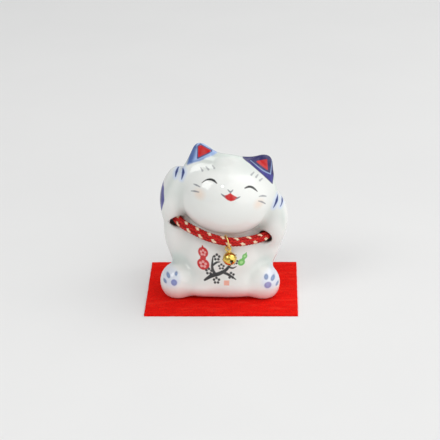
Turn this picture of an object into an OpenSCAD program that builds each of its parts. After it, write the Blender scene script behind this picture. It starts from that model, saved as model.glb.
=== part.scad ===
// Beckoning cat figurine: a hollow porcelain cat with both paws raised, standing on a felt
// mat, with a braided collar cord drawn through four holes and a jingle bell on a jump ring.
// Millimetres. The face looks towards -Y, +X is to the right as the face is looked at, +Z is
// up, and the origin is the middle of the mat's underside.

/* [Mat] */
// Width of the felt mat
mat_w = 90; // [84:1:110]
// Depth of the felt mat
mat_d = 70; // [68:1:90]
// Thickness of the felt
mat_t = 1; // [0.8:0.1:2]

/* [Porcelain cat] */
// Wall of the slip-cast body
wall = 2.8; // [2.5:0.1:3]
// Thickness of the closed bottom
floor_t = 3.4; // [3:0.1:5]
// Vent hole in the bottom
vent_d = 9; // [5:0.5:12]
// Facet size of the sculpted surface
facet = 3.65; // [3.65:0.15:3.8]

/* [Collar cord] */
// Diameter of the braided cord
cord_d = 5.6; // [4.8:0.1:5.7]
// Diameter of the cord holes in the porcelain
cord_hole_d = 8; // [7.8:0.1:8.6]
// Length of each end that hangs from the knot
tail_len = 13; // [8:1:16]

/* [Bell and ring] */
// Inner diameter of the jump ring
ring_id = 7.2; // [7.1:0.1:7.6]
// Wire of the jump ring
ring_wire = 0.9; // [0.7:0.1:1]
// Outer diameter of the bell
bell_d = 8; // [7:0.2:8.4]
// Sheet thickness of the bell
bell_wall = 0.4; // [0.3:0.05:0.5]
// Width of the sound slot
slot_w = 0.9; // [0.6:0.1:1.2]
// Hole at each end of the sound slot
slot_hole_d = 2.2; // [1.6:0.1:2.3]
// Diameter of the loose pellet
pellet_d = 2.6; // [2.4:0.1:3]

/* [Hidden] */

// Gap between the cat's base and the felt that it stands on
stand_gap = 0.05;
stand = [0, 0, mat_t + stand_gap];

// The cat is a set of rounded masses that flow into each other. Each row holds the centre
// above the base, the three half sizes, the lean to +X in degrees, and the softness of its
// join to the rows before it.
BODY_MASSES = [
    [[0.5, 7, 14], [29, 22, 16], 0, 0],              // haunches and back
    [[0.5, 6, 31], [27.5, 19.5, 25], 0, 10],         // chest and shoulders
    [[1, -2.5, 24], [20, 14.5, 18], 0, 8],           // belly
    [[-10.5, -6.6, 8], [17, 12.6, 8.5], 0, 8],       // lap between the feet
    [[12, -6.6, 8], [17, 12.6, 8.5], 0, 8],
    [[-26.2, -8.5, 9], [10.5, 10.5, 11.5], 0, 4],    // foot at -X
    [[24.5, -8.5, 8], [10, 10.5, 11], 0, 4],         // foot at +X
    [[-25.4, 3, 36.5], [9, 9.5, 20], -5, 6],         // upper arm at -X
    [[-26.8, -1.5, 62.5], [8.6, 9, 17.5], 10, 6],    // forearm and paw at -X
    [[27, 3, 33], [9, 9.5, 17], 8, 6],               // upper arm at +X
    [[31, -2, 48], [8.3, 9, 15.5], 0, 6],            // forearm and paw at +X
    [[6, 27, 9], [9, 6, 6], 0, 3]                    // bob tail
];
HEAD_MASS = [[3, -2, 62.5], [28, 24.5, 23], 12, 0];
head_join = 4;
vent_at = [0, 8, 0];

// Each ear is a rounded spike over four points: tip, the two front corners, and a root
// inside the head.
EARS = [
    [[-11.8, -3.5, 92.6], [-21, -7, 73.5], [3, -7, 82.5], [-8, 10, 66]],
    [[27, -3.5, 84.6], [29.3, -7, 60], [7, -7, 80.5], [15, 10, 60]]
];
ear_round = 3;
ear_edge = 5.5;
ear_join = 7;

// Route of the collar cord's centre line, from the knot round the -X side to the front and
// back round the +X side, measured above the cat's base
CORD_ROUTE = [
    [-5.4, 24, 50.2], [-10, 22.2, 50.6], [-15, 19.3, 51], [-20, 15.6, 50.6], [-23.8, 11.6, 50.1],
    [-26.2, 7, 49.5], [-27, 2, 48.9], [-26.3, -3, 48.1], [-24, -7.4, 47.2],
    [-20, -11.5, 46.1], [-14, -15.4, 44.5], [-7.5, -18.7, 42.8], [-1, -20.4, 41.5],
    [5, -20.6, 40.4], [11, -18.9, 39.5], [17, -15.5, 38.8], [22, -11.6, 38.2],
    [25.8, -7.2, 37.8], [28, -2, 38], [28.4, 4, 39.2], [27, 9.8, 41],
    [23.9, 15.2, 43.4], [19.2, 19.8, 46], [14, 22.6, 48], [9, 24.2, 49.3]
];
// Mouths of the four cord holes: centre and the direction that the hole runs inwards
CORD_HOLES = [
    [[-25.2, -6.4, 46.5], [-0.45, 0.87, 0.16]],
    [[-24.2, 10.9, 49.8], [-0.45, -0.87, -0.14]],
    [[25.6, -7.5, 37.2], [0.45, 0.89, 0.03]],
    [[25.8, 11.3, 41.7], [0.47, -0.82, -0.32]]
];
hole_reach = 8;
cord_sides = 10;
cord_steps = 2;

// The knot sits between the cord's two ends at the nape
knot_r = 5.2;
knot_c = [1.8, 25.8, 49.8];
knot_half = 2.6;
tail_lean = 26;
tail_out = 16;
knot_fine = 32;

// The ring hangs on the cord at this point of its route. It leans in to the chest, and is
// turned a little about the upright and skewed on the cord.
hang_point = 0.8 * CORD_ROUTE[13] + 0.2 * CORD_ROUTE[12];
ring_drop = 0.45;
ring_lean = -5;
ring_turn = 18;
ring_skew = -8;
ring_r = (ring_id + ring_wire) / 2;

// The bell's shank is a loop of wire on a stem, and the loop hangs on the ring's lowest turn
bell_tip = 26;
shank_hole_d = 2.2;
shank_wire = 0.8;
shank_r = (shank_hole_d + shank_wire) / 2;
shank_stem_d = 1.3;
shank_stem_len = 1.1;
shank_flange_d = 3.2;
shank_flange_t = 0.35;
shank_flange_up = 0.35;
shank_drop = (shank_hole_d - ring_wire) / 2 - 0.2;
bell_r = bell_d / 2;
bell_inner_r = bell_r - bell_wall;
bell_drop = shank_r + shank_wire / 2 + bell_r + 0.1;
seam_w = 0.7;
seam_out = 0.25;
seam_gap = 0.02;
// Angle below the seam at which the sound slot ends in its two holes
slot_end = 22;
pellet_gap = 0.12;
fine = 64;
wire_fine = 24;

// ---- Sculpting by blended distances -------------------------------------------------

function soft_min(a, b, k) =
    k <= 0 ? min(a, b) : let (h = max(k - abs(a - b), 0) / k) min(a, b) - h * h * k / 4;
function soft_max(a, b, k) = -soft_min(-a, -b, k);

// Row vector p turned so that a lean of `a` degrees to +X is undone
function unlean(p, a) =
    [p.x * cos(a) - p.z * sin(a), p.y, p.x * sin(a) + p.z * cos(a)];

// Distance from p to the surface of one rounded mass, negative inside
function mass_dist(p, m) =
    let (q = unlean(p - m[0], m[2]), r = m[1],
         u = [q.x / r.x, q.y / r.y, q.z / r.z],
         s = norm(u),
         g = norm([u.x / r.x, u.y / r.y, u.z / r.z]))
    s * (s - 1) / max(g, 1e-6);

function masses_dist(p, rows, i = 0, d = 1e3) =
    i == len(rows) ? d
    : masses_dist(p, rows, i + 1, soft_min(d, mass_dist(p, rows[i]), rows[i][3]));

// Distance to the plane through a, b and c, positive on the side away from `inner`
function face_dist(p, a, b, c, inner) =
    let (n = cross(b - a, c - a), u = n / norm(n))
    (inner - a) * u > 0 ? -(p - a) * u : (p - a) * u;

function ear_dist(p, e) =
    let (m = (e[0] + e[1] + e[2] + e[3]) / 4,
         front = face_dist(p, e[1], e[2], e[0], m),
         outer = face_dist(p, e[1], e[0], e[3], m),
         inner = face_dist(p, e[2], e[3], e[0], m),
         under = face_dist(p, e[1], e[2], e[3], m))
    soft_max(soft_max(soft_max(front, outer, ear_edge), inner, ear_edge), under, ear_edge)
    - ear_round;

function cat_dist(p) =
    let (head = soft_min(soft_min(mass_dist(p, HEAD_MASS), ear_dist(p, EARS[0]), ear_join),
                         ear_dist(p, EARS[1]), ear_join))
    soft_min(masses_dist(p, BODY_MASSES), head, head_join);

// The cavity is the same form, one wall further in and cut off above the closed bottom
function cavity_dist(p) = soft_max(cat_dist(p) + wall, floor_t - p.z, 2);
function form_dist(p, hollow) = hollow ? cavity_dist(p) : cat_dist(p);

// ---- Surface net: a closed skin of triangles over any form --------------------------

net_low = [-42, -32, -5];
net_high = [44, 38, 101];
net_count = [for (a = [0:2]) ceil((net_high[a] - net_low[a]) / facet)];
CORNERS = [for (k = [0, 1], j = [0, 1], i = [0, 1]) [i, j, k]];
AXES = [[1, 0, 0], [0, 1, 0], [0, 0, 1]];
RIM = [[1, 1], [0, 1], [0, 0], [1, 0]];

function net_point(c) = net_low + c * facet;
function at(grid, c) = grid[c.z][c.y][c.x];
function cell_id(c) = (c.z * net_count.y + c.y) * net_count.x + c.x;
function mean(pts) = [for (p = pts) 1] * pts / len(pts);

// Mean of the points where the form crosses the edges of cell c
function crossing_mean(grid, c) =
    mean([for (u = CORNERS, a = AXES)
          if (u * a == 0)
          let (v = at(grid, c + u), w = at(grid, c + u + a))
          if ((v < 0) != (w < 0)) net_point(c + u + a * v / (v - w))]);

// Moves p onto the form along its slope
function settle(p, hollow, n = 2) =
    n == 0 ? p
    : let (e = 0.05, d = form_dist(p, hollow),
           g = [for (a = AXES) (form_dist(p + a * e, hollow) - d) / e])
      settle(p - g * d / max(g * g, 0.2), hollow, n - 1);

function split_quad(q, pts) =
    norm(pts[q[0]] - pts[q[2]]) < norm(pts[q[1]] - pts[q[3]])
    ? [[q[0], q[1], q[2]], [q[0], q[2], q[3]]]
    : [[q[0], q[1], q[3]], [q[1], q[2], q[3]]];

module surface_net(hollow) {
    n = net_count;
    grid = [for (k = [0:n.z]) [for (j = [0:n.y]) [for (i = [0:n.x])
            form_dist(net_point([i, j, k]), hollow)]]];
    cells = [for (k = [0:n.z - 1], j = [0:n.y - 1], i = [0:n.x - 1]) [i, j, k]];
    crossed = [for (c = cells)
               let (inside = len([for (u = CORNERS) if (at(grid, c + u) < 0) 1]))
               inside > 0 && inside < 8 ? 1 : 0];
    rank = [for (i = 0, s = 0; i < len(cells); s = s + crossed[i], i = i + 1) s];
    points = [for (i = [0:len(cells) - 1])
              if (crossed[i] == 1) settle(crossing_mean(grid, cells[i]), hollow)];
    faces = [for (c = cells, m = [0:2])
             let (v = at(grid, c), w = at(grid, c + AXES[m]))
             if ((v < 0) != (w < 0))
             let (ring = [for (s = RIM) rank[cell_id(c - s[0] * AXES[(m + 1) % 3]
                                                       - s[1] * AXES[(m + 2) % 3])]],
                  quad = v < 0 ? [ring[3], ring[2], ring[1], ring[0]] : ring)
             each split_quad(quad, points)];
    polyhedron(points, faces, convexity = 8);
}

// ---- Swept cord ----------------------------------------------------------------------

// Point at fraction t between p[i] and p[i + 1] of a smooth curve through all points
function curve_at(p, i, t) =
    let (a = p[max(i - 1, 0)], b = p[i], c = p[i + 1], d = p[min(i + 2, len(p) - 1)])
    0.5 * ((2 * b) + (c - a) * t + (2 * a - 5 * b + 4 * c - d) * t * t
           + (3 * b - a - 3 * c + d) * t * t * t);
function curve(p, steps) =
    [for (i = [0:len(p) - 2], s = [0:steps - 1]) curve_at(p, i, s / steps), p[len(p) - 1]];

module cord_tube(route, d, sides) {
    n = len(route);
    side_of = function (i)
        let (t = route[min(i + 1, n - 1)] - route[max(i - 1, 0)],
             s = cross(t, abs(t.z) > 0.9 * norm(t) ? [0, 1, 0] : [0, 0, 1]))
        [s / norm(s), cross(s, t) / norm(cross(s, t))];
    rings = [for (i = [0:n - 1]) let (f = side_of(i)) for (a = [0:sides - 1])
             route[i] + d / 2 * (f[0] * cos(a * 360 / sides) + f[1] * sin(a * 360 / sides))];
    walls = [for (i = [0:n - 2], a = [0:sides - 1])
             let (b = (a + 1) % sides, q = i * sides)
             each [[q + a, q + b, q + sides + b], [q + a, q + sides + b, q + sides + a]]];
    ends = [[for (a = [sides - 1:-1:0]) a], [for (a = [0:sides - 1]) (n - 1) * sides + a]];
    polyhedron(rings, concat(walls, ends), convexity = 6);
}

// ---- Parts ---------------------------------------------------------------------------

module felt_mat() {
    color("crimson")
        translate([-mat_w / 2, -mat_d / 2, 0]) cube([mat_w, mat_d, mat_t]);
}

// Turns +Z to the direction v and moves to c
module aim(c, v) {
    translate(c) rotate([0, acos(v.z / norm(v)), atan2(v.y, v.x)]) children();
}

module porcelain_cat() {
    block = 2 * net_high.z;
    color("ghostwhite") translate(stand) difference() {
        surface_net(false);
        surface_net(true);
        translate([-block / 2, -block / 2, -block]) cube(block);
        translate(vent_at - [0, 0, floor_t]) cylinder(d = vent_d, h = 3 * floor_t, $fn = fine);
        for (h = CORD_HOLES)
            aim(h[0] - h[1] * hole_reach, h[1])
                cylinder(d = cord_hole_d, h = 2 * hole_reach, $fn = fine);
    }
}

module collar_cord() {
    color("firebrick") translate(stand)
        cord_tube(curve(CORD_ROUTE, cord_steps), cord_d, cord_sides);
}

module cord_knot() {
    color("firebrick") translate(stand + knot_c) {
        hull() for (s = [-1, 1]) translate([s * knot_half, 0, 0]) sphere(knot_r, $fn = knot_fine);
        for (s = [-1, 1])
            rotate([-tail_out, s * (180 - tail_lean), 0])
                cylinder(d = cord_d, h = knot_r + tail_len, $fn = knot_fine);
    }
}

// Frame of the ring: origin at its centre, the ring's plane is YZ
module ring_frame() {
    translate(stand + hang_point) rotate([-ring_lean, 0, 0]) rotate([0, 0, ring_turn])
        rotate([0, ring_skew, 0]) translate([0, 0, -ring_drop]) children();
}

module jump_ring() {
    color("gold") ring_frame() rotate([0, 90, 0])
        rotate_extrude($fn = fine) translate([ring_r, 0]) circle(d = ring_wire, $fn = wire_fine);
}

// Frame of the bell: origin at the middle of the shank loop, the loop's plane is XZ
module bell_frame() {
    ring_frame() translate([0, 0, -ring_r]) rotate([-bell_tip, -ring_skew, 0])
        translate([0, 0, -shank_drop]) children();
}

module bell_shank() {
    stem_foot = -shank_r - shank_stem_len;
    color("goldenrod") bell_frame() difference() {
        union() {
            rotate([90, 0, 0]) rotate_extrude($fn = fine)
                translate([shank_r, 0]) circle(d = shank_wire, $fn = wire_fine);
            translate([0, 0, stem_foot])
                cylinder(d = shank_stem_d, h = shank_stem_len, $fn = fine);
            translate([0, 0, stem_foot + shank_flange_up])
                cylinder(d = shank_flange_d, h = shank_flange_t, $fn = fine);
        }
        translate([0, 0, -bell_drop]) sphere(r = bell_r + seam_gap, $fn = fine);
    }
}

module half_shell(up) {
    difference() {
        union() {
            sphere(r = bell_r, $fn = fine);
            cylinder(r = bell_r + seam_out, h = seam_w, center = true, $fn = fine);
        }
        sphere(r = bell_inner_r, $fn = fine);
        translate([-bell_d, -bell_d, up ? -2 * bell_d + seam_gap : -seam_gap])
            cube(2 * bell_d);
    }
}

module bell_upper_shell() {
    color("gold") bell_frame() translate([0, 0, -bell_drop]) half_shell(true);
}

module bell_lower_shell() {
    color("gold") bell_frame() translate([0, 0, -bell_drop]) difference() {
        half_shell(false);
        translate([-slot_w / 2, -bell_r * cos(slot_end), -bell_d])
            cube([slot_w, 2 * bell_r * cos(slot_end), bell_d - bell_r * sin(slot_end)]);
        for (s = [-1, 1]) rotate([s * (90 - slot_end), 0, 0])
            translate([0, 0, -bell_d]) cylinder(d = slot_hole_d, h = bell_d, $fn = fine);
    }
}

module bell_pellet() {
    color("silver") bell_frame()
        translate([0, 0, -bell_drop - bell_inner_r + pellet_d / 2 + pellet_gap])
            sphere(d = pellet_d, $fn = fine);
}

felt_mat();
porcelain_cat();
collar_cord();
cord_knot();
jump_ring();
bell_shank();
bell_upper_shell();
bell_lower_shell();
bell_pellet();
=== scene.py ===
"""Looks of a beckoning cat figurine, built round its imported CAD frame.

Shapes are worked out in millimetres above the cat's base, as in the CAD source, and place()
turns them into points of the frame in metres.
"""
import math

import bmesh
import bpy
import numpy as np
from mathutils import Matrix, Vector


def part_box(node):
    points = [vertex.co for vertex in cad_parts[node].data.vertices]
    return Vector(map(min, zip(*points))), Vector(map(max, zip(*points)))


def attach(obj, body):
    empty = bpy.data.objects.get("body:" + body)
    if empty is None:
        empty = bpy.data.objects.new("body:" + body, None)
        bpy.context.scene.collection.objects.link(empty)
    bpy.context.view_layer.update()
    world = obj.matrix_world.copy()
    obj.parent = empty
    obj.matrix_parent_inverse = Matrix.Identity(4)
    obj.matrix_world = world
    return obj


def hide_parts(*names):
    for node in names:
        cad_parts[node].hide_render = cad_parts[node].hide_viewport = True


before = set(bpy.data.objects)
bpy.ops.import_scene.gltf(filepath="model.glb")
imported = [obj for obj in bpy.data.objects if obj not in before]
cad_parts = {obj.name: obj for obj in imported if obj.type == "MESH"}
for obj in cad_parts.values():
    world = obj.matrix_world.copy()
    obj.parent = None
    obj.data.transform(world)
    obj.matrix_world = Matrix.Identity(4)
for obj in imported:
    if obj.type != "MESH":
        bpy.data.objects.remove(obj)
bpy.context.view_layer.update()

MM = 0.001
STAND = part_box("porcelain_cat")[0].z / MM    # how high the cat's base stands
MAT_LOW, MAT_HIGH = (np.array(c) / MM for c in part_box("felt_mat"))

# ---- The cat's form: centre, half sizes, lean to +X in degrees, softness of the join -----
BODY_MASSES = [
    ((0.5, 7, 14), (29, 22, 16), 0, 0),              # haunches and back
    ((0.5, 6, 31), (27.5, 19.5, 25), 0, 10),         # chest and shoulders
    ((1, -2.5, 24), (20, 14.5, 18), 0, 8),           # belly
    ((-10.5, -6.6, 8), (17, 12.6, 8.5), 0, 8),       # lap between the feet
    ((12, -6.6, 8), (17, 12.6, 8.5), 0, 8),
    ((-26.2, -8.5, 9), (10.5, 10.5, 11.5), 0, 4),    # foot at -X
    ((24.5, -8.5, 8), (10, 10.5, 11), 0, 4),         # foot at +X
    ((-25.4, 3, 36.5), (9, 9.5, 20), -5, 6),         # upper arm at -X
    ((-26.8, -1.5, 62.5), (8.6, 9, 17.5), 10, 6),    # forearm and paw at -X
    ((27, 3, 33), (9, 9.5, 17), 8, 6),               # upper arm at +X
    ((31, -2, 48), (8.3, 9, 15.5), 0, 6),            # forearm and paw at +X
    ((6, 27, 9), (9, 6, 6), 0, 3),                   # bob tail
]
HEAD_MASS = ((3, -2, 62.5), (28, 24.5, 23), 12)
HEAD_JOIN = 4
# Each ear is a rounded spike over its tip, two front corners and a root inside the head
EARS = [
    ((-11.8, -3.5, 92.6), (-21, -7, 73.5), (3, -7, 82.5), (-8, 10, 66)),
    ((27, -3.5, 84.6), (29.3, -7, 60), (7, -7, 80.5), (15, 10, 60)),
]
EAR_ROUND, EAR_EDGE, EAR_JOIN = 3, 5.5, 7
WALL, FLOOR_T = 2.8, 3.4
VENT_AT, VENT_R = (0, 8), 4.5
# How softly the base, the cavity's floor and the vent meet the surfaces next to them
BASE_EDGE, CAVITY_EDGE, VENT_EDGE = 1.6, 2, 0.8
# Each hole's middle and the way that it runs
CORD_HOLES = [
    ((-25.2, -6.4, 46.5), (-0.45, 0.87, 0.16)),
    ((-24.2, 10.9, 49.8), (-0.45, -0.87, -0.14)),
    ((25.6, -7.5, 37.2), (0.45, 0.89, 0.03)),
    ((25.8, 11.3, 41.7), (0.47, -0.82, -0.32)),
]
HOLE_R, HOLE_REACH, HOLE_LIP = 4, 8, 1.2
# The box that the surface is found in, and the size of its cells
NET_LOW, NET_HIGH = np.array([-42, -32, -4.0]), np.array([44, 38, 100.0])
NET_STEP = 0.9
# How far apart a slope is measured, and the least that a point's step is divided by
SLOPE_STEP, LEAST_SLOPE = 0.05, 0.2

# ---- The collar cord ---------------------------------------------------------------------
CORD_ROUTE = [
    (-5.4, 24, 50.2), (-10, 22.2, 50.6), (-15, 19.3, 51), (-20, 15.6, 50.6), (-23.8, 11.6, 50.1),
    (-26.2, 7, 49.5), (-27, 2, 48.9), (-26.3, -3, 48.1), (-24, -7.4, 47.2),
    (-20, -11.5, 46.1), (-14, -15.4, 44.5), (-7.5, -18.7, 42.8), (-1, -20.4, 41.5),
    (5, -20.6, 40.4), (11, -18.9, 39.5), (17, -15.5, 38.8), (22, -11.6, 38.2),
    (25.8, -7.2, 37.8), (28, -2, 38), (28.4, 4, 39.2), (27, 9.8, 41),
    (23.9, 15.2, 43.4), (19.2, 19.8, 46), (14, 22.6, 48), (9, 24.2, 49.3),
]
CORD_D = 5.6
CORD_STEP = 0.3
KNOT_AT = (1.8, 25.8, 49.8)
# So many strands wind each way, once round in a lead. The pale ones make the flecks.
STRANDS = 8
BRAID_LEAD = 16
PALE_STRANDS = (0, 4)
FLECK_TURN = math.radians(-20)
# A strand's half thickness, how far it rises and dips, its sway in radians, and the core
STRAND_THICK, STRAND_WAVE, STRAND_SWAY, CORE_R = 0.28, 0.34, 0.12, 1.6
# The places of the yarns in the cord's materials, and each strand's half width, how proud it
# lies, and its yarn
# The core's yarn is near black, as painted shade in the gaps between strands
RED_YARN, PALE_YARN, SHADED_CORE_YARN = range(3)
RED_STRAND = (0.76, 0, RED_YARN)
PALE_STRAND = (1.0, 0.2, PALE_YARN)
STRANDS_SHY = 0.1


def place(points):
    """Points above the cat's base in millimetres, as points of the frame in metres."""
    return (np.asarray(points, float) + [0, 0, STAND]) * MM


# ---- Camera and light --------------------------------------------------------------------
SENSOR, LENS = 36, 128.45
CAMERA_AT = (0.0321, -0.8407, 0.4367)
CAMERA_YAW, CAMERA_PITCH, CAMERA_ROLL = (math.radians(a) for a in (-2.24, 24.92, -1.11))
LIGHT_AIM = Vector((0, 0, 0.055))
# Name, the way to the light from its aim, distance, size, watts, colour
SOFTBOXES = [
    ("key", (-0.57, -0.44, 0.70), 1.5, 0.55, 4.2, (1, 0.99, 0.97)),
    ("overhead", (0.5, 0.25, 1), 2, 1.8, 15, (1, 0.995, 0.98)),
    ("small", (-0.02, -0.62, 0.76), 1.6, 0.09, 0.9, (1, 1, 1)),
    ("fill", (0.77, -0.47, 0.45), 1.9, 2.8, 26, (1, 0.99, 0.975)),
]
SKY_COLOUR, SKY_STRENGTH = (0.97, 0.985, 1, 1), 0.42
FLOOR_HALF = 3


def make_camera():
    """A long lens in front of the cat, a little to +X and well above it, looking down."""
    data = bpy.data.cameras.new("camera")
    data.sensor_width = SENSOR
    data.lens = LENS
    camera = bpy.data.objects.new("camera", data)
    bpy.context.scene.collection.objects.link(camera)
    level = math.cos(CAMERA_PITCH)
    ahead = Vector((math.sin(CAMERA_YAW) * level, math.cos(CAMERA_YAW) * level,
                    -math.sin(CAMERA_PITCH)))
    across = Vector((math.cos(CAMERA_YAW), -math.sin(CAMERA_YAW), 0))
    above = across.cross(ahead)
    right = math.cos(CAMERA_ROLL) * across + math.sin(CAMERA_ROLL) * above
    up = math.cos(CAMERA_ROLL) * above - math.sin(CAMERA_ROLL) * across
    turn = Matrix((right, up, -ahead)).transposed()
    camera.matrix_world = Matrix.Translation(CAMERA_AT) @ turn.to_4x4()
    bpy.context.scene.camera = camera


def add_softbox(name, direction, distance, size, watts, colour):
    """A square area light that faces the middle of the cat from the given direction."""
    data = bpy.data.lights.new(name, "AREA")
    data.size = size
    data.energy = watts
    data.color = colour
    light = bpy.data.objects.new(name, data)
    bpy.context.scene.collection.objects.link(light)
    way = Vector(direction).normalized()
    light.location = LIGHT_AIM + way * distance
    light.rotation_euler = way.to_track_quat("Z", "Y").to_euler()


def make_light():
    """An even pale surround with soft lights, plain tones, and one small bright glint."""
    world = bpy.data.worlds.new("studio")
    world.use_nodes = True
    sky = world.node_tree.nodes["Background"]
    sky.inputs["Color"].default_value = SKY_COLOUR
    sky.inputs["Strength"].default_value = SKY_STRENGTH
    bpy.context.scene.world = world
    bpy.context.scene.view_settings.view_transform = "Standard"
    for softbox in SOFTBOXES:
        add_softbox(*softbox)


def make_floor():
    """A plain pale floor, slightly uneven in tone."""
    material, nodes = new_material("studio_floor", Roughness=0.85)
    nodes.colour((0.80, 0.80, 0.80), (0.84, 0.84, 0.835), nodes.noise(9, 3))
    mesh = bpy.data.meshes.new("floor")
    corners = [(x * FLOOR_HALF, y * FLOOR_HALF, 0) for x, y in ((-1, -1), (1, -1), (1, 1), (-1, 1))]
    mesh.from_pydata(corners, [], [(0, 1, 2, 3)])
    mesh.materials.append(material)
    floor = bpy.data.objects.new("floor", mesh)
    bpy.context.scene.collection.objects.link(floor)


# ---- Materials ---------------------------------------------------------------------------
class Nodes:
    """Short names for the nodes that the materials are wired from."""

    def __init__(self, material):
        self.tree = material.node_tree
        self.shader = self.tree.nodes["Principled BSDF"]

    def add(self, kind, links=(), **settings):
        """A node of that kind. links pairs each input with a socket or a constant."""
        node = self.tree.nodes.new(kind)
        for name, value in settings.items():
            setattr(node, name, value)
        for key, value in links:
            if isinstance(value, bpy.types.NodeSocket):
                self.tree.links.new(value, node.inputs[key])
            else:
                node.inputs[key].default_value = value
        return node

    def shaded_point(self, scale=(1, 1, 1), uv=False):
        """The point being shaded, in metres or along its strand, multiplied by scale."""
        at = self.add("ShaderNodeTexCoord").outputs["UV" if uv else "Object"]
        return self.add("ShaderNodeMapping", [("Vector", at), ("Scale", scale)]).outputs[0]

    def noise(self, scale, detail, at=None):
        """Smooth random values from 0 to 1, scale of them to a metre."""
        at = self.shaded_point() if at is None else at
        links = [("Scale", scale), ("Detail", detail), ("Vector", at)]
        return self.add("ShaderNodeTexNoise", links).outputs[0]

    def math(self, operation, a, b=0.0):
        return self.add("ShaderNodeMath", [(0, a), (1, b)], operation=operation).outputs[0]

    def spread(self, value, low, high, to_low=0.0, to_high=1.0):
        """The value, with low..high stretched to to_low..to_high and held at its ends."""
        return self.add("ShaderNodeMapRange", [("Value", value), ("From Min", low),
                        ("From Max", high), ("To Min", to_low), ("To Max", to_high)]).outputs[0]

    def attribute(self, name, output="Fac"):
        return self.add("ShaderNodeAttribute", attribute_name=name).outputs[output]

    def mix(self, a, b, share):
        """Colour a with a share of colour b. The node's colour sockets go by their places."""
        node = self.add("ShaderNodeMix", data_type="RGBA")
        for socket, value in ((node.inputs[0], share), (node.inputs[6], a), (node.inputs[7], b)):
            if isinstance(value, bpy.types.NodeSocket):
                self.tree.links.new(value, socket)
            else:
                socket.default_value = (*value, 1)
        return node.outputs[2]

    def colour(self, a, b, share):
        """Makes the base colour a with a share of b."""
        self.set("Base Color", self.mix(a, b, share))

    def set(self, name, socket):
        """Wires a socket to the shader's input of that name."""
        self.tree.links.new(socket, self.shader.inputs[name])

    def bump(self, heights):
        """Relief from (height socket, depth in mm) pairs, the coarsest first."""
        normal = None
        for height, depth in heights:
            links = [("Height", height), ("Distance", depth * MM), ("Strength", 1.0)]
            if normal is not None:
                links.append(("Normal", normal))
            normal = self.add("ShaderNodeBump", links).outputs[0]
        self.set("Normal", normal)


def new_material(name, **sockets):
    """A material, its Nodes, and the shader's own sockets set to constants."""
    material = bpy.data.materials.new(name)
    material.use_nodes = True
    nodes = Nodes(material)
    for key, value in sockets.items():
        nodes.shader.inputs[key.replace("_", " ")].default_value = value
    return material, nodes


def porcelain_material():
    """White glazed porcelain, under-glaze paint, pooled glaze and painted shade, a bare base."""
    material, nodes = new_material(
        "glazed_porcelain", IOR=1.5, Subsurface_Weight=0.08, Subsurface_Scale=0.001,
        Subsurface_Radius=(1.0, 0.9, 0.8), Coat_Weight=0.1, Coat_Roughness=0.012)
    body = nodes.mix((0.82, 0.835, 0.80), (0.86, 0.87, 0.85), nodes.noise(70, 3))
    # Pooled glaze tint, and painted shade: creases and the inner walls are darkened as if in shade
    hollow_pool_and_shade = nodes.spread(nodes.attribute("glaze_pool_and_shade"), 0.1, 1, 0, 0.75)
    pooled_and_shaded = nodes.mix(body, (0.60, 0.67, 0.63), hollow_pool_and_shade)
    specks = nodes.spread(nodes.noise(900, 1), 0.79, 0.83, 0, 0.3)
    speckled = nodes.mix(pooled_and_shaded, (0.30, 0.25, 0.20), specks)
    brush = nodes.noise(330, 4, nodes.shaded_point((1, 1, 0.45)))
    washed = nodes.mix(nodes.attribute("paint", "Color"), (1, 1, 1),
                       nodes.spread(brush, 0.45, 0.8, 0, 0.03))
    covered = nodes.math("MULTIPLY", nodes.attribute("paint", "Alpha"),
                         nodes.spread(brush, 0.3, 0.6, 1.0, 0.97))
    painted = nodes.mix(speckled, washed, covered)
    bare = nodes.attribute("bare")
    nodes.colour(painted, (0.66, 0.62, 0.55), bare)
    smears = nodes.spread(nodes.noise(420, 3), 0.3, 0.8, 0, 0.03)
    nodes.set("Roughness", nodes.math("ADD", nodes.spread(bare, 0, 1, 0.02, 0.62), smears))
    grain = nodes.math("MULTIPLY", nodes.noise(2600, 2), bare)
    nodes.bump([(nodes.noise(60, 1), 0.07), (nodes.noise(420, 2), 0.006), (grain, 0.05)])
    return material


def cord_material(name, shade, shaded_tone, light):
    """Twisted yarn: fine slanting filaments along each strand, painted shade in their grooves and
    down its sides.
    """
    material, nodes = new_material(
        name, Roughness=0.6, Sheen_Weight=0.15, Sheen_Roughness=0.4,
        Sheen_Tint=(*light, 1), Specular_IOR_Level=0.3)
    slant = nodes.add("ShaderNodeVectorRotate", [("Vector", nodes.shaded_point(uv=True)),
                      ("Angle", 0.5)], rotation_type="Z_AXIS").outputs[0]
    drawn = nodes.add("ShaderNodeMapping", [("Vector", slant), ("Scale", (0.7, 6.5, 1))])
    yarn = nodes.noise(1.6, 3, drawn.outputs[0])
    # Painted shade: darker in the filaments' grooves, following the bump
    tone = nodes.mix(shaded_tone, shade, nodes.spread(yarn, 0.3, 0.55))
    lit = nodes.mix(tone, light, nodes.spread(nodes.noise(900, 2), 0.5, 0.8, 0, 0.4))
    # Painted shade: each strand darkens towards its sides, where it dips between its neighbours
    on_strand = nodes.add("ShaderNodeSeparateXYZ", [("Vector", nodes.shaded_point(uv=True))])
    edge = nodes.math("ABSOLUTE", nodes.math("SUBTRACT", on_strand.outputs[1], 1.0))
    nodes.colour(lit, shaded_tone, nodes.spread(edge, 0.35, 1.0, 0, 0.85))
    nodes.bump([(yarn, 0.16), (nodes.noise(5200, 2), 0.03)])
    return material


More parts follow.
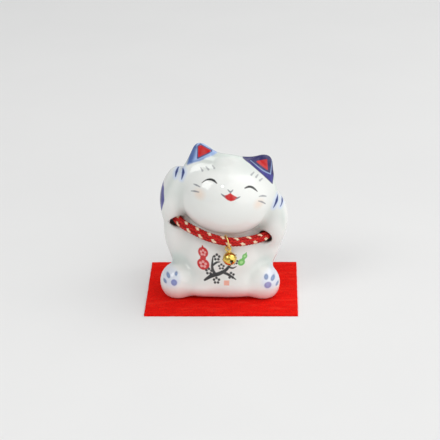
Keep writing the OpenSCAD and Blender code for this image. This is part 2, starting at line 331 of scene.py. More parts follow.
def metal_material(name, colour, worn, roughness):
    """Thin bright plating with fine polish marks, dulled in patches and worn through."""
    material, nodes = new_material(name, Metallic=1.0)
    patches = nodes.noise(900, 4)
    nodes.colour(colour, worn, nodes.spread(patches, 0.5, 0.7, 0, 0.85))
    marks = nodes.noise(2400, 3, nodes.shaded_point((1, 1, 7)))
    dulled = nodes.spread(patches, 0.4, 0.7, roughness, roughness + 0.14)
    nodes.set("Roughness", nodes.math("ADD", dulled, nodes.spread(marks, 0.4, 0.7, 0, 0.07)))
    nodes.bump([(nodes.noise(520, 2), 0.05), (marks, 0.006)])
    return material


def felt_material():
    """Pressed red felt: matted fibres that run every way, with darker and paler tufts."""
    material, nodes = new_material(
        "red_felt", Roughness=0.95, Sheen_Weight=0.03, Sheen_Roughness=0.6,
        Sheen_Tint=(1, 0.45, 0.38, 1), Specular_IOR_Level=0.08)
    runs = [nodes.noise(1, 3, nodes.shaded_point(way)) for way in
            ((260, 2400, 900), (1900, 380, 900), (1500, 1500, 1500))]
    fibres = nodes.math("MAXIMUM", nodes.math("MAXIMUM", runs[0], runs[1]), runs[2])
    body = nodes.mix((0.64, 0.003, 0.001), (0.95, 0.007, 0.002), nodes.spread(fibres, 0.48, 0.7))
    tufts = nodes.noise(230, 5, nodes.shaded_point((0.35, 1.7, 1)))
    nodes.colour(body, (1.0, 0.05, 0.025), nodes.spread(tufts, 0.5, 0.75, 0, 0.4))
    nodes.bump([(tufts, 0.12), (fibres, 0.14)])
    return material


# ---- Blended distances -------------------------------------------------------------------
def soft_min(a, b, blend):
    """The smaller distance, rounded where the two differ by less than blend."""
    near = np.maximum(blend - np.abs(a - b), 0) / blend
    return np.minimum(a, b) - near * near * blend / 4


def soft_max(a, b, blend):
    return -soft_min(-a, -b, blend)


def mass_dist(p, centre, half, lean):
    """About the distance from points p to a leaning ellipsoid, negative inside."""
    q = p - np.array(centre, float)
    if lean:
        c, s = math.cos(math.radians(lean)), math.sin(math.radians(lean))
        q = np.stack([q[..., 0] * c - q[..., 2] * s, q[..., 1],
                      q[..., 0] * s + q[..., 2] * c], -1)
    half = np.array(half, float)
    unit = q / half
    size = np.linalg.norm(unit, axis=-1)
    return size * (size - 1) / np.maximum(np.linalg.norm(unit / half, axis=-1), 1e-6)


def ear_dist(p, ear):
    """Distance to a spike with four faces and soft edges."""
    tip, a, b, root = (np.array(v, float) for v in ear)
    middle = (tip + a + b + root) / 4
    spike = None
    for one, two, three in ((a, b, tip), (a, tip, root), (b, root, tip), (a, b, root)):
        out = np.cross(two - one, three - one)
        out /= np.linalg.norm(out) * (-1 if (middle - one) @ out > 0 else 1)
        side = (p - one) @ out
        spike = side if spike is None else soft_max(spike, side, EAR_EDGE)
    return spike - EAR_ROUND


def cat_dist(p):
    """The whole cat as a solid, without its base cut."""
    body = None
    for centre, half, lean, blend in BODY_MASSES:
        mass = mass_dist(p, centre, half, lean)
        body = mass if body is None else soft_min(body, mass, blend)
    head = mass_dist(p, *HEAD_MASS)
    for ear in EARS:
        head = soft_min(head, ear_dist(p, ear), EAR_JOIN)
    return soft_min(body, head, HEAD_JOIN)


def cast_dist(p):
    """The hollow casting: a flat base with a vent, a cavity, and four rounded cord holes."""
    skin = cat_dist(p)
    height = p[..., 2]
    cast = soft_max(skin, -height, BASE_EDGE)
    cast = np.maximum(cast, -soft_max(skin + WALL, FLOOR_T - height, CAVITY_EDGE))
    vent = np.hypot(p[..., 0] - VENT_AT[0], p[..., 1] - VENT_AT[1]) - VENT_R
    cast = soft_max(cast, -np.maximum(vent, height - 2 * FLOOR_T), VENT_EDGE)
    for centre, way in CORD_HOLES:
        way = np.array(way) / np.linalg.norm(way)
        q = p - np.array(centre)
        along = q @ way
        out = np.linalg.norm(q - along[..., None] * way, axis=-1) - HOLE_R
        cast = soft_max(cast, -np.maximum(out, np.abs(along) - HOLE_REACH), HOLE_LIP)
    return cast


def slope(p, form):
    """The form's distance at each point, and how fast it grows along X, Y and Z."""
    base = form(p)
    ways = np.eye(3) * SLOPE_STEP
    return base, np.stack([(form(p + way) - base) / SLOPE_STEP for way in ways], -1)


def settle(p, form, rounds):
    """Moves points on to the form along its slope, by at most about 1 mm a round."""
    for _ in range(rounds):
        off, way = slope(p, form)
        steep = np.maximum((way * way).sum(-1), LEAST_SLOPE)
        p = p - way * np.clip(off / steep, -1, 1)[:, None]
    return p


def surface_net(form, step):
    """Quads over the form: one point in each cell that it crosses.

    Each point is the mean of the places where the form cuts its cell's edges, and each edge that
    is cut gives a quad through the four cells round it.
    """
    count = np.ceil((NET_HIGH - NET_LOW) / step).astype(int)
    lines = [NET_LOW[axis] + step * np.arange(count[axis] + 1) for axis in range(3)]
    grid = np.stack(np.meshgrid(*lines, indexing="ij"), -1)
    value = form(grid)
    inside = value < 0
    corners = [inside[i:count[0] + i, j:count[1] + j, k:count[2] + k]
               for i in (0, 1) for j in (0, 1) for k in (0, 1)]
    hits = np.sum(corners, axis=0)
    crossed = (hits > 0) & (hits < len(corners))
    number = np.full(crossed.shape, -1)
    number[crossed] = np.arange(crossed.sum())
    total = np.zeros((crossed.sum(), 3))
    shares = np.zeros(crossed.sum())
    quads = []
    for axis in range(3):
        near = tuple(slice(0, -1) if i == axis else slice(None) for i in range(3))
        far = tuple(slice(1, None) if i == axis else slice(None) for i in range(3))
        cut = inside[near] != inside[far]
        start, end = value[near][cut], value[far][cut]
        points = grid[near][cut]
        points[:, axis] += step * start / (start - end)
        cells = np.argwhere(cut)
        ring = []
        for back, down in ((1, 1), (0, 1), (0, 0), (1, 0)):
            at = cells.copy()
            at[:, (axis + 1) % 3] -= back
            at[:, (axis + 2) % 3] -= down
            ring.append(number[tuple(at.T)])
            np.add.at(total, ring[-1], points)
            np.add.at(shares, ring[-1], 1)
        ring = np.stack(ring, 1)
        ring[start < 0] = ring[start < 0][:, ::-1]
        quads.append(ring)
    return total / shares[:, None], np.vstack(quads)


# ---- Under-glaze paint -------------------------------------------------------------------
# A shape is a function from points to distances, negative inside. A mark is a shape, its
# colour, its strength, and how wide its edge fades.
INK = (0.012, 0.011, 0.014)
GREY = (0.17, 0.18, 0.21)
RED = (0.60, 0.006, 0.008)
NAVY = (0.014, 0.007, 0.11)
INDIGO = (0.020, 0.016, 0.27)
BLUE = (0.025, 0.085, 0.32)
PALE_BLUE = (0.33, 0.47, 0.78)
HALO_BLUE = (0.56, 0.66, 0.93)
TOE_BLUE = (0.10, 0.18, 0.38)
PAD_BLUE = (0.17, 0.20, 0.50)
PAD_VIOLET = (0.24, 0.21, 0.48)
BLUSH = (0.90, 0.66, 0.50)
GREEN = (0.13, 0.52, 0.08)
SEAL = (0.85, 0.33, 0.22)
PETAL = (0.95, 0.52, 0.50)
LIME = (0.45, 0.80, 0.32)
BARE_GLAZE = 0.8
FAR = 1e3               # the distance to a shape from where it can't be painted
IN_FRONT = -45.0        # a Y in front of the whole cat
STEPS_IN, STEP_SHARE = 60, 0.8
EARS_FRONT = -4.5       # the Y that parts the front of the ears from their backs
PETALS, PETAL_OUT, PETAL_ACROSS = 5, 0.36, 0.38
# Marks with a narrower edge than CRISP get a finer mesh there, each quad cut so many times
CRISP, MARK_CUTS = 2, 3
# Glaze pools, with painted shade, where another surface rises within reach; the glaze ends a little
# above the base
CREASE_REACH, POOL_AND_SHADE_GAIN = 4, 2.2
GLAZE_LINE, GLAZE_FADE = 0.75, 0.35


def on_front(points):
    """(x, z) places as points of the cat's front, found by careful steps along +Y."""
    at = np.array([(x, IN_FRONT, z) for x, z in points])
    for _ in range(STEPS_IN):
        at[:, 1] += cat_dist(at) * STEP_SHARE
    return at


def smooth_line(points, steps=8):
    """A Catmull-Rom curve through the points, and each of its points' place among them."""
    p = np.array([points[0], *points, points[-1]], float)
    out, at = [], []
    for i in range(1, len(p) - 2):
        for step in range(steps):
            t = step / steps
            out.append(0.5 * (2 * p[i] + (p[i + 1] - p[i - 1]) * t
                              + (2 * p[i - 1] - 5 * p[i] + 4 * p[i + 1] - p[i + 2]) * t * t
                              + (3 * p[i] - p[i - 1] - 3 * p[i + 1] + p[i + 2]) * t ** 3))
            at.append(i - 1 + t)
    return np.array(out + [p[-1]]), np.array(at + [len(points) - 1.0])


def stroke(points, widths):
    """A brush stroke over the surface through 3-D points, as wide as widths at each."""
    line, at = smooth_line(points)
    half = np.interp(at, range(len(widths)), widths) / 2

    def dist(p):
        best = np.full(len(p), FAR)
        for i in range(len(line) - 1):
            start, run = line[i], line[i + 1] - line[i]
            share = np.clip((p - start) @ run / max(run @ run, 1e-9), 0, 1)
            off = np.linalg.norm(p - start - share[:, None] * run, axis=1)
            best = np.minimum(best, off - (half[i] + (half[i + 1] - half[i]) * share))
        return best
    return dist


def front_stroke(points, widths):
    """A brush stroke through (x, z) places on the front."""
    return stroke(on_front(points), widths)


def spot(x, z, across, high=None, lean=0):
    """A painted oval on the front, leaning that many degrees to +X."""
    high = high or across
    c, s = math.cos(math.radians(lean)), math.sin(math.radians(lean))

    def dist(p):
        dx, dz = p[:, 0] - x, p[:, 2] - z
        unit = np.stack([(dx * c - dz * s) / (across / 2), (dx * s + dz * c) / (high / 2)], 1)
        size = np.linalg.norm(unit, axis=1)
        return np.where(p[:, 1] < 0, (size - 1) * min(across, high) / 2, FAR)
    return dist


def patch(corners, rounding=0.0, front=True):
    """A painted polygon in the (x, z) plane, grown by rounding, on the front or right round."""
    corners = np.array(corners, float)

    def dist(p):
        q = p[:, [0, 2]]
        best, inside = np.full(len(q), FAR), np.zeros(len(q), bool)
        for start, end in zip(corners, np.roll(corners, -1, 0)):
            side = end - start
            share = np.clip((q - start) @ side / (side @ side), 0, 1)
            best = np.minimum(best, np.linalg.norm(q - start - share[:, None] * side, axis=1))
            level = (start[1] > q[:, 1]) != (end[1] > q[:, 1])
            with np.errstate(divide="ignore", invalid="ignore"):
                left = q[:, 0] < side[0] * (q[:, 1] - start[1]) / side[1] + start[0]
            inside ^= level & left
        best = np.where(inside, -best, best) - rounding
        return np.where(p[:, 1] < EARS_FRONT, best, FAR) if front else best
    return dist


def either(*shapes):
    """Several shapes as one."""
    return lambda p: np.min([shape(p) for shape in shapes], axis=0)


def blossom(x, z, size):
    """A ring of round petals, as a generic plum flower."""
    turns = np.radians(np.arange(PETALS) * 360 / PETALS)
    out, across = PETAL_OUT * size, PETAL_ACROSS * size
    return either(*[spot(x + out * math.sin(a), z + out * math.cos(a), across) for a in turns])


def face_marks():
    """Blushes, brow and whisker strokes, nose, open mouth and closed smiling eyes."""
    eyes = [
        front_stroke([(-10.1, 76.7), (-7.7, 78.3), (-5.3, 78.9), (-3.3, 78.6), (-1.4, 77.4)],
                     [0.3, 0.9, 1.35, 1.4, 0.5]),
        front_stroke([(14.6, 74.1), (16.8, 74.3), (18.8, 73.5), (20.3, 72.2), (21.7, 70.7)],
                     [0.7, 1.3, 1.45, 1.2, 0.4]),
    ]
    brows = [front_stroke(ends, [0.6, 1.2]) for ends in (
        [(-10.9, 83.2), (-9.8, 81.9)], [(-7.8, 83.9), (-6.3, 82.8)], [(-4.1, 85), (-3, 83.7)],
        [(19.7, 80), (18.2, 79)], [(22, 78.3), (20.9, 77.4)], [(24.5, 75.9), (23, 75.3)])]
    whiskers = [front_stroke(bend, [0.4, 1.0, 0.5]) for bend in (
        [(-14.9, 75.2), (-13.2, 75.1), (-11.1, 74.7)], [(-16.4, 71.4), (-14.2, 71.9), (-11.7, 72)],
        [(22.6, 67.9), (24.6, 67.4), (26.7, 66.3)], [(22.2, 65.6), (24.2, 64.3), (26.2, 62.3)])]
    nose = either(front_stroke([(4.9, 74.4), (6.4, 73.2), (7.8, 74.1)], [0.4, 1.1, 0.4]),
                  front_stroke([(6.4, 73.3), (6.4, 72.3)], [0.9, 0.5]))
    upper_lip = [(1.9, 71.8), (3.3, 71.5), (4.7, 71.8), (6.3, 72.6), (7.4, 71.8), (9, 70.8)]
    lower_lip = [(10.8, 69.8), (9.7, 69.2), (8.1, 68.6), (6.5, 68.4), (4.8, 69.1), (3.3, 70.3)]
    mouth = patch(upper_lip + lower_lip, 0.1)
    corners = either(front_stroke([(1.1, 72.4), (2.3, 71.5), (3.6, 70.6)], [0.4, 1.0, 0.4]),
                     front_stroke([(9.3, 69.3), (10.8, 69.9), (12, 70.3)], [0.5, 0.9, 0.3]))
    blushes = either(spot(-11.3, 71, 5.4, 5), spot(22.4, 63.8, 4.6, 4.6))
    marks = [(blushes, BLUSH, 0.5, 4.4)]
    marks += [(brow, GREY, 0.62, 0.7) for brow in brows]
    marks += [(whisker, GREY, 0.8, 0.6) for whisker in whiskers]
    marks += [(nose, GREY, 0.95, 0.5), (mouth, RED, 1.0, 0.5), (corners, GREY, 0.95, 0.4)]
    marks += [(eye, INK, 1.0, 0.4) for eye in eyes]
    return marks


def ear_marks():
    """Painted ears: the one at -X pale blue and the one at +X navy, with red insides."""
    left_edge = [(-18.6, 84), (-15.7, 85.1), (-11.3, 86.5), (-7.7, 88.3), (-4, 89.9), (0.5, 92)]
    left = patch(left_edge + [(2, 102), (-13, 102), (-16.2, 90.7), (-17.6, 86.9)], 0.2,
                 front=False)
    left_deep = patch([(-18.6, 84), (-16.2, 85.2), (-14.6, 89), (-13, 96), (-15.6, 99), (-17, 90)],
                      0.3, front=False)
    left_tip = front_stroke([(-13.7, 93.5), (-12.2, 96.2), (-8.6, 95.6), (-4, 92.9)],
                            [1.4, 1.6, 1.3, 0.6])
    left_low = front_stroke([(-16.5, 85.3), (-11, 87), (-6, 89.4)], [0.9, 0.8, 0.5])
    left_ring = patch([(-12.3, 94.3), (-11, 95.2), (-4.6, 91.8), (-12.6, 87.7)], 0.45)
    left_red = patch([(-12, 94), (-10.8, 94.6), (-5.4, 91.8), (-12.1, 88.5)], 0.3)
    right_edge = [(13.4, 88.2), (17.5, 84.8), (21, 81.4), (24.6, 77.9), (27.4, 75), (30.3, 71.8)]
    right = patch(right_edge + [(30.8, 75.2), (31.1, 78), (38, 82), (38, 98), (13, 98)], 0.15,
                  front=False)
    right_low = patch([(16, 86.4), (19.5, 83.4), (27, 76), (30.2, 72.4), (30.6, 76.5), (28.6, 77.6),
                       (24, 80.6)], 0.1)
    right_line = either(front_stroke([(17.8, 86.2), (24.4, 80.4), (29.2, 77.4)], [0.4, 0.6, 0.6]),
                        front_stroke([(29.2, 77.4), (29.7, 81.4), (29.8, 85.2)], [0.6, 0.5, 0.2]))
    right_red = patch([(21.6, 85.2), (26.9, 85.8), (27.3, 80.4)], 0.4)
    return [(left, PALE_BLUE, 0.95, 0.8), (left_deep, BLUE, 0.85, 2.0), (left_tip, BLUE, 0.6, 1.6),
            (left_low, BLUE, 0.4, 1.2), (left_ring, NAVY, 0.9, 0.6), (left_red, RED, 1.0, 0.4),
            (right, NAVY, 1.0, 0.5), (right_low, INDIGO, 0.85, 1.0),
            (right_line, PALE_BLUE, 0.85, 0.4), (right_red, RED, 1.0, 0.4)]


def paw_marks():
    """Claws on both raised paws, the patch on the arm at -X, and the pads of both feet."""
    claws = [
        [(-24.2, -2.2, 80.0), (-25.2, -6, 78.5), (-25.7, -8.4, 76.3)],
        [(-21.4, -7.2, 81.3), (-21.1, -9.2, 79.4), (-22.1, -10.7, 75.7)],
        [(33.3, -7.7, 64.6), (32.8, -9.7, 62), (30.9, -11.4, 58)],
        [(35.9, -1.9, 61), (36, -5, 59.7), (34.8, -9.2, 57.7)],
    ]
    claws = [settle(np.array(claw), cat_dist, 4) for claw in claws]
    halos = either(*[stroke(claw, [3.4, 4.6, 3]) for claw in claws])
    marks = [(halos, HALO_BLUE, 0.6, 2.4)]
    marks += [(stroke(claw, [0.6, 2.0, 0.4]), BLUE, 0.95, 0.6) for claw in claws]
    marks += [(stroke(claw, [0.3, 1.3, 0.3]), NAVY, 0.75, 0.6) for claw in claws]
    lens = settle(np.array([(-33.6, -2, 71), (-34.4, -3.6, 66.5), (-34.6, -4, 61.5),
                            (-35.4, -3, 56.5), (-36, -2, 53.5)]), cat_dist, 4)
    marks += [(stroke(lens, [0.6, 7.2, 9.4, 7.2, 1]), INDIGO, 0.97, 0.9),
              (stroke(lens[1:4], [2, 5, 2]), NAVY, 0.5, 2.5)]
    # Each foot: the middle of its halo, its toes and its main pad as spots, and the pad's colour
    feet = [
        ((-29.8, 14.6),
         [(-31.4, 15.9, 2.3, 2.8, -30), (-26.6, 17.3, 1.8, 2.1, 20), (-33.4, 12.4, 2.0, 2.6, -35)],
         (-27.9, 12.6, 3.7, 3.7), PAD_BLUE),
        ((29.2, 12.9),
         [(26.4, 15.2, 2.5, 2.8, -15), (30.3, 13.9, 2.4, 2.9, 20), (32.9, 9.8, 1.7, 2.5, 25)],
         (27.4, 10.8, 4.3, 3.7), PAD_VIOLET),
    ]
    for middle, toes, pad, colour in feet:
        marks.append((spot(*middle, 11, 10), HALO_BLUE, 0.38, 3.5))
        marks.append((either(*[spot(*toe) for toe in toes]), TOE_BLUE, 0.85, 0.8))
        marks.append((either(*[spot(*toe[:2], 1) for toe in toes]), PALE_BLUE, 0.35, 1.2))
        marks.append((spot(*pad), colour, 0.9, 0.8))
        marks.append((spot(pad[0], pad[1] + 0.2, 1.6), PALE_BLUE, 0.25, 1.6))
    return marks


def belly_marks():
    """A red and a green gourd, a plum branch in flower, and a blank square seal."""
    red = either(spot(-10.5, 30.7, 6.0, 6.2), spot(-10.5, 23.6, 7.4, 7.2),
                 front_stroke([(-10.6, 27.5), (-10.5, 31), (-10.9, 34.6)], [3.8, 3.2, 0.5]))
    red_marks = either(blossom(-10.5, 30.6, 3.6), blossom(-10.6, 23.6, 4.4))
    green = either(spot(13.9, 28.1, 3.0, 3.1), spot(11.9, 24.8, 4.3, 4.3),
                   front_stroke([(11.9, 25), (13.9, 28), (14.9, 30)], [2.4, 2.1, 0.5]))
    green_marks = either(spot(13.9, 28.1, 1.3), spot(11.9, 24.8, 1.9))
    branch = either(
        front_stroke([(-9.8, 14.2), (-5.5, 17), (-1, 18.5), (3.5, 21.6), (8.8, 29.8)],
                     [1.2, 2.6, 2.5, 1.9, 0.6]),
        front_stroke([(-3.5, 17.8), (-5.2, 22), (-4.7, 29)], [2.0, 1.7, 0.6]),
        front_stroke([(0.5, 19.6), (4.5, 17.6), (8.6, 14.6)], [2.0, 1.6, 0.5]),
        front_stroke([(-5.1, 23.5), (-2.6, 25.6), (-0.6, 26)], [1.4, 1.3, 0.5]),
        front_stroke([(4.4, 22.8), (6.8, 21.8), (9, 22.6)], [1.4, 1.1, 0.4]))
    flowers = [blossom(-7.2, 19.6, 4.4), blossom(-2.8, 14.2, 4.2), blossom(-2.4, 28.8, 4.2),
               blossom(0.2, 23, 3.8), blossom(5.8, 17.2, 4.2), blossom(8.4, 25.6, 3.4)]
    seal = patch([(1.7, 14.1), (4.6, 14.1), (4.6, 11.3), (1.6, 11.4)], 0.1)
    return [(red, RED, 1.0, 0.5), (red_marks, PETAL, 0.8, 0.5),
            (green, GREEN, 0.95, 0.5), (green_marks, LIME, 0.8, 0.5),
            (branch, INK, 1.0, 0.45), (either(*flowers), INK, 0.97, 0.35),
            (seal, SEAL, 0.8, 0.5)]


# ---- Pieces ------------------------------------------------------------------------------
def add_piece(name, points, faces, body, materials, face_material=None, uv=None):
    """A smooth mesh that rides on a body. uv holds one pair for each point."""
    mesh = bpy.data.meshes.new(name)
    mesh.from_pydata(place(points).tolist(), [], [list(map(int, f)) for f in faces])
    for material in materials:
        mesh.materials.append(material)
    if face_material is not None:
        mesh.polygons.foreach_set("material_index", np.array(face_material, np.int32))
    if uv is not None:
        corners = np.zeros(len(mesh.loops), np.int32)
        mesh.loops.foreach_get("vertex_index", corners)
        layer = mesh.uv_layers.new(name="strand")
        layer.data.foreach_set("uv", np.asarray(uv, np.float32)[corners].ravel())
    mesh.shade_smooth()
    piece = bpy.data.objects.new(name, mesh)
    bpy.context.scene.collection.objects.link(piece)
    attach(piece, body)
    return piece


def paint_attribute(mesh, points, marks):
    """Lays the marks one over another, as a colour and how far it covers the glaze."""
    colour, cover = np.ones((len(points), 3)) * BARE_GLAZE, np.zeros(len(points))
    for dist, shade, strength, soft in marks:
        share = np.clip(0.5 - dist(points) / soft, 0, 1)
        share = share * share * (3 - 2 * share) * strength
        total = share + cover * (1 - share)
        keep = np.where(total > 0, share / np.maximum(total, 1e-6), 0)[:, None]
        colour = colour * (1 - keep) + np.array(shade) * keep
        cover = total
    paint = mesh.attributes.new("paint", "FLOAT_COLOR", "POINT")
    values = np.hstack([colour, cover[:, None]]).astype(np.float32)
    paint.data.foreach_set("color", values.ravel())


def float_attribute(mesh, name, values):
    """Stores a number for each point, which the glaze reads by that name."""
    attribute = mesh.attributes.new(name, "FLOAT", "POINT")
    attribute.data.foreach_set("value", values.astype(np.float32))


def refine(points, quads, marks):
    """Splits the quads along the crisp edges of painted marks, and settles the new points."""
    mesh = bpy.data.meshes.new("refined")
    mesh.from_pydata(points.tolist(), [], quads.tolist())
    crisp = [(dist, soft) for dist, _, _, soft in marks if soft < CRISP]
    near = np.min([abs(dist(points)) - soft / 2 for dist, soft in crisp], axis=0)
    bm = bmesh.new()
    bm.from_mesh(mesh)
    edges = [e for e in bm.edges if min(near[v.index] for v in e.verts) < NET_STEP]
    bmesh.ops.subdivide_edges(bm, edges=edges, cuts=MARK_CUTS, use_grid_fill=True)
    bmesh.ops.triangulate(bm, faces=[f for f in bm.faces if len(f.verts) > 4])
    bm.to_mesh(mesh)
    bm.free()
    fine = np.zeros(len(mesh.vertices) * 3)
    mesh.vertices.foreach_get("co", fine)
    faces = [tuple(f.vertices) for f in mesh.polygons]
    return settle(fine.reshape(-1, 3), cast_dist, 2), faces


def make_porcelain():
    """The glazed cat, its paint, pooled glaze and painted shade in its creases, and a bare base."""
    marks = ear_marks() + face_marks() + paw_marks() + belly_marks()
    points, quads = surface_net(cast_dist, NET_STEP)
    points = settle(points, cast_dist, 3)
    points, faces = refine(points, quads, marks)
    piece = add_piece("glazed_cat", points, faces, "cat", [porcelain_material()])
    paint_attribute(piece.data, points, marks)
    skin, normal = slope(points, cat_dist)
    normal /= np.linalg.norm(normal, axis=1)[:, None]
    # Pooled glaze with painted shade: darker where another surface rises near, and fully darkened
    # on the walls of the cavity, cord holes and vent
    outside = skin > -1
    creased = 1 - cat_dist(points + normal * CREASE_REACH) / CREASE_REACH
    pooled_and_shaded = np.where(outside, np.clip(creased * POOL_AND_SHADE_GAIN, 0, 1), 1)
    float_attribute(piece.data, "glaze_pool_and_shade", pooled_and_shaded)
    bare = np.clip((GLAZE_LINE - points[:, 2]) / GLAZE_FADE, 0, 1)
    float_attribute(piece.data, "bare", bare)
    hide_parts("porcelain_cat")


def evenly(points, spacing):
    """The smooth curve through the points, as evenly spaced points and how far along they are."""
    line, _ = smooth_line(points, 16)
    run = np.concatenate([[0], np.cumsum(np.linalg.norm(np.diff(line, axis=0), axis=1))])
    at = np.linspace(0, run[-1], int(round(run[-1] / spacing)) + 1)
    return np.stack([np.interp(at, run, line[:, i]) for i in range(3)], 1), at


def frames_along(line):
    """Two directions square to the line at each point, with no twist of their own."""
    ahead = np.gradient(line, axis=0)
    ahead /= np.linalg.norm(ahead, axis=1)[:, None]
    side = np.zeros_like(line)
    upward = np.array([0, 0, 1.0])
    side[0] = upward - (upward @ ahead[0]) * ahead[0]
    for i in range(1, len(line)):
        side[i] = side[i - 1] - (side[i - 1] @ ahead[i]) * ahead[i]
        side[i] /= np.linalg.norm(side[i])
    side[0] /= np.linalg.norm(side[0])
    return side, np.cross(ahead, side)


class Tubes:
    """Closed tubes gathered into one mesh, each with its own material."""

    def __init__(self):
        self.points, self.faces, self.uv, self.material = [], [], [], []
        self.count = 0

    def add(self, line, wide, thick, radial, material, sides, along):
        """A tube of oval section, thick along radial. wide and thick are half sizes.

        Its uv is how far along a point is, and 1 on the outside and inside, 0 or 2 at the edges.
        """
        n = len(line)
        ahead = np.gradient(line, axis=0)
        ahead /= np.linalg.norm(ahead, axis=1)[:, None]
        out = radial - (radial * ahead).sum(1)[:, None] * ahead
        out /= np.linalg.norm(out, axis=1)[:, None]
        across = np.cross(ahead, out)
        wide, thick = (np.broadcast_to(v, n)[:, None] for v in (wide, thick))
        for k in range(sides):
            turn = 2 * math.pi * k / sides
            self.points.append(line + across * wide * math.cos(turn) + out * thick * math.sin(turn))
            self.uv.append(np.stack([along, np.full(n, 2 * abs(1 - 2 * k / sides))], 1))
        rows = [range(self.count + k * n, self.count + (k + 1) * n) for k in range(sides)]
        for row, beside in zip(rows, rows[1:] + rows[:1]):
            for i in range(n - 1):
                self.faces.append((row[i], row[i + 1], beside[i + 1], beside[i]))
        self.faces.append([row[0] for row in rows])
        self.faces.append([row[-1] for row in reversed(rows)])
        self.material += [material] * (sides * (n - 1) + 2)
        self.count += sides * n

    def piece(self, name, body, materials):
        """All the tubes so far as one piece of that body."""
        return add_piece(name, np.vstack(self.points), self.faces, body, materials,
                         self.material, np.vstack(self.uv))


def braid(tubes, line, at, radius):
    """Sixteen strands, over two and under two, round a core. Radius is the outer one."""
    side, above = frames_along(line)
    scale = np.broadcast_to(radius, len(line)) / (CORD_D / 2)
    for way in (1, -1):
        for k in range(STRANDS):
            pale = way == 1 and k in PALE_STRANDS
            half_width, proud, yarn = PALE_STRAND if pale else RED_STRAND
            beat = 2 * np.pi * (2 * STRANDS * at / BRAID_LEAD + way * (2 * k + 0.5)) / 4
            turn = 2 * np.pi * (way * at / BRAID_LEAD + k / STRANDS) + FLECK_TURN
            turn = turn + way * STRAND_SWAY * np.cos(beat)
            radial = np.cos(turn)[:, None] * side + np.sin(turn)[:, None] * above
            middle = CORD_D / 2 - STRAND_THICK - STRAND_WAVE
            lift = (middle + STRAND_WAVE * np.sin(beat)) * scale + proud * scale
            tubes.add(line + radial * lift[:, None], half_width * scale, STRAND_THICK * scale,
                      radial, yarn, 8, at)
    # The core, coloured near black as painted shade that shows between the strands
    tubes.add(line, CORE_R * scale, CORE_R * scale, side, SHADED_CORE_YARN, 10, at)


def make_cord(materials):
    """The collar cord, from one side of the knot round the neck to the other."""
    line, at = evenly(CORD_ROUTE, CORD_STEP)
    tubes = Tubes()
    braid(tubes, line, at, CORD_D / 2 - STRANDS_SHY)
    piece = tubes.piece("braided_cord", "cat", materials)
    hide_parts("collar_cord")


def make_knot(materials):
    """Both ends twist round each other at the nape and hang down as two tails."""
    tubes = Tubes()
    twist_r, reach, turns = 2.3, 6.0, 1.5
    # How thick an end is along its length: squeezed in the knot, and a little frayed at the tip
    parts = [0, 0.07, 0.15, 0.55, 0.72, 0.95, 1]
    radii = [2.8, 2.5, 1.95, 1.95, 2.5, 2.6, 2.75]
    tail = [(7.2, 2.6, -3.2), (7.3, 3.4, -8), (7.6, 4.9, -15)]
    for side, start in ((-1, CORD_ROUTE[0]), (1, CORD_ROUTE[-1])):
        route = [np.array(start)]
        for share in np.linspace(0, 1, 9):
            turn = math.radians(180 + 360 * turns * share)
            bend = (side * reach * (1 - 2 * share), twist_r * math.cos(turn),
                    twist_r * math.sin(turn))
            route.append(np.array(bend) + KNOT_AT)
        for out, back, up in tail:
            route.append(np.array((-side * out, back, up)) + KNOT_AT)
        line, at = evenly(route, CORD_STEP)
        braid(tubes, line, at, np.interp(at / at[-1], parts, radii))
    piece = tubes.piece("nape_knot", "cat", materials)
    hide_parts("cord_knot")


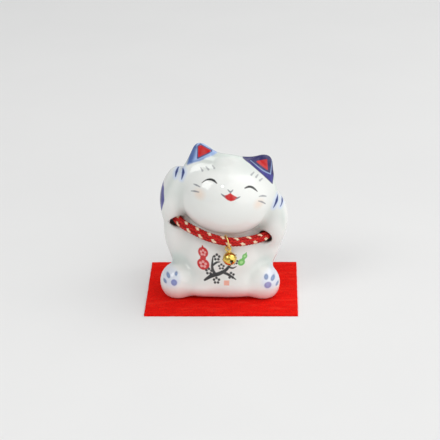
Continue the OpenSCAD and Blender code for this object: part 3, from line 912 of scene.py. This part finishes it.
def make_felt():
    """A cut sheet of felt: small hollows over its top, and edges a little soft and uneven."""
    rng = np.random.default_rng(5)
    width, depth, thick = MAT_HIGH - MAT_LOW
    nx, ny = 150, 116
    edge_reach, edge_droop, edge_lift, edge_wander = 0.5, 0.22, 0.1, 0.07
    surface_drop, hollow = 0.05, 0.045
    count = 26
    waves = rng.normal(size=(count, 2)) * 0.55
    phases = rng.uniform(0, 2 * np.pi, count)

    def wander(x, y):
        """Random gentle waves, mostly within -1..1."""
        parts = [np.sin(x * w[0] + y * w[1] + phase) for w, phase in zip(waves, phases)]
        return sum(parts) / count ** 0.5

    across, along = np.meshgrid(np.linspace(-1, 1, nx + 1), np.linspace(-1, 1, ny + 1))
    x, y = across * width / 2, along * depth / 2
    inward = np.minimum(width / 2 - abs(x), depth / 2 - abs(y))
    edge = np.exp(-(inward / edge_reach) ** 2)
    inset = edge_wander * (1 + wander(x * 2.2, y * 2.2))
    x = x - np.copysign(inset, x) * (abs(across) > 0.97)
    y = y - np.copysign(inset, y) * (abs(along) > 0.96)
    upper = thick - surface_drop - edge_droop * edge - hollow * (1 + wander(x, y)) / 2
    lower = edge_lift * edge
    points = np.stack([(x, y, z - STAND + MAT_LOW[2]) for z in (upper, lower)])
    points = points.transpose(0, 2, 3, 1).reshape(-1, 3)

    top, low = np.arange(len(points)).reshape(2, ny + 1, nx + 1)
    faces = []
    for j in range(ny):
        for i in range(nx):
            ring = [(j, i), (j, i + 1), (j + 1, i + 1), (j + 1, i)]
            faces.append([top[corner] for corner in ring])
            faces.append([low[corner] for corner in reversed(ring)])
    rim = ([(0, i) for i in range(nx)] + [(j, nx) for j in range(ny)]
           + [(ny, i) for i in range(nx, 0, -1)] + [(j, 0) for j in range(ny, 0, -1)])
    for start, end in zip(rim, rim[1:] + rim[:1]):
        faces.append([low[start], low[end], top[end], top[start]])
    piece = add_piece("felt_sheet", points, faces, "mat", [felt_material()])
    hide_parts("felt_mat")


def dress_metal():
    """The bell, its ring and its pellet keep their CAD shapes and take worn metal."""
    gilt = metal_material("gilt_brass", (0.86, 0.62, 0.14), (0.56, 0.40, 0.12), 0.12)
    bright = metal_material("ring_wire", (0.93, 0.68, 0.22), (0.70, 0.50, 0.20), 0.10)
    steel = metal_material("pellet_steel", (0.56, 0.55, 0.53), (0.30, 0.28, 0.26), 0.3)
    for node, material in (("bell_shank", gilt), ("bell_upper_shell", gilt),
                           ("bell_lower_shell", gilt), ("jump_ring", bright),
                           ("bell_pellet", steel)):
        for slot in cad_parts[node].material_slots:
            slot.material = material


make_camera()
cord_yarns = [
    cord_material("red_yarn", (0.74, 0.009, 0.006), (0.11, 0.002, 0.002), (0.90, 0.06, 0.035)),
    cord_material("cream_yarn", (0.97, 0.75, 0.54), (0.66, 0.33, 0.18), (1.0, 0.92, 0.78)),
    # Near black, as painted shade in the gaps between strands
    cord_material("core_yarn_dark_as_shade", (0.12, 0.003, 0.002), (0.03, 0.001, 0.001), (0.2, 0.01, 0.008)),
]
make_cord(cord_yarns)
make_knot(cord_yarns)
make_porcelain()
make_felt()
dress_metal()
make_floor()
make_light()
